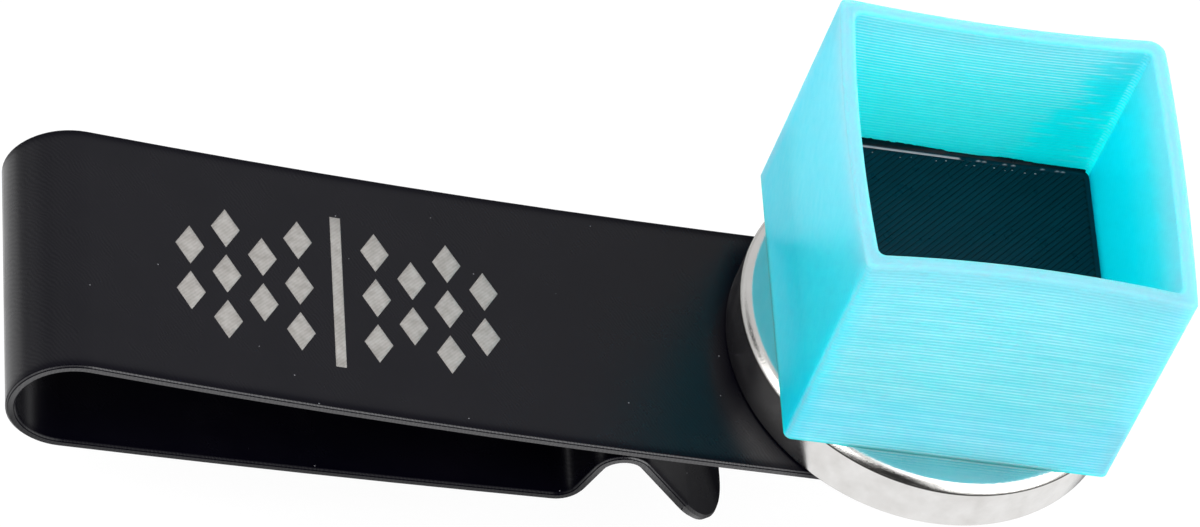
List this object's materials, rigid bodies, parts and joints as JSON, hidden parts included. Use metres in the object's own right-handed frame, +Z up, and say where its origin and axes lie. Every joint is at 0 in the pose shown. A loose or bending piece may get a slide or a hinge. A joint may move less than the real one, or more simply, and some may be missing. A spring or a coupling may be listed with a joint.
{
  "type": "cue chalk holder",
  "caption": "Belt clip of bent spring strip carrying a disc magnet, which holds a square open cup for a cube of cue chalk.",
  "frame": {"origin": "below the middle of the whole part, at the level of the tip of the clip's lip", "axes": "+X along the clip from the fold towards the cup, +Z up along the axis of the magnet and the cup"},
  "size_m": [0.0884, 0.0318, 0.0376],
  "materials": {
    "clip_black": "satin black coating on spring steel",
    "nickel_plate": "polished nickel plate",
    "cup_cyan": "translucent printed plastic with fine layer lines",
    "pad_black": "printed plastic with fine diagonal lines"
  },
  "bodies": {
    "clip": {"clip_front_leg": "clip_black"},
    "spring_leg": {"clip_spring_leg": "clip_black"},
    "magnet": {"disc_magnet": "nickel_plate"},
    "cup": {"chalk_cup": "cup_cyan", "cup_magnet": "nickel_plate", "floor_pad": "pad_black"}
  },
  "joints": [
    {"name": "clip_flex", "type": "hinge", "parent": "clip", "child": "spring_leg", "pos_m": [-0.04419, -0.00085, 0.00819], "axis": [0, 1, 0], "range_deg": [0, 8], "stiffness_Nm_per_rad": 4},
    {"name": "magnet_swivel", "type": "hinge", "parent": "clip", "child": "magnet", "pos_m": [0.02831, 0, 0.01105], "axis": [0, 0, 1], "continuous": true},
    {"name": "cup_lift", "type": "slide", "parent": "magnet", "child": "cup", "axis": [0, 0, 1], "range_m": [0, 0.04]}
  ]
}
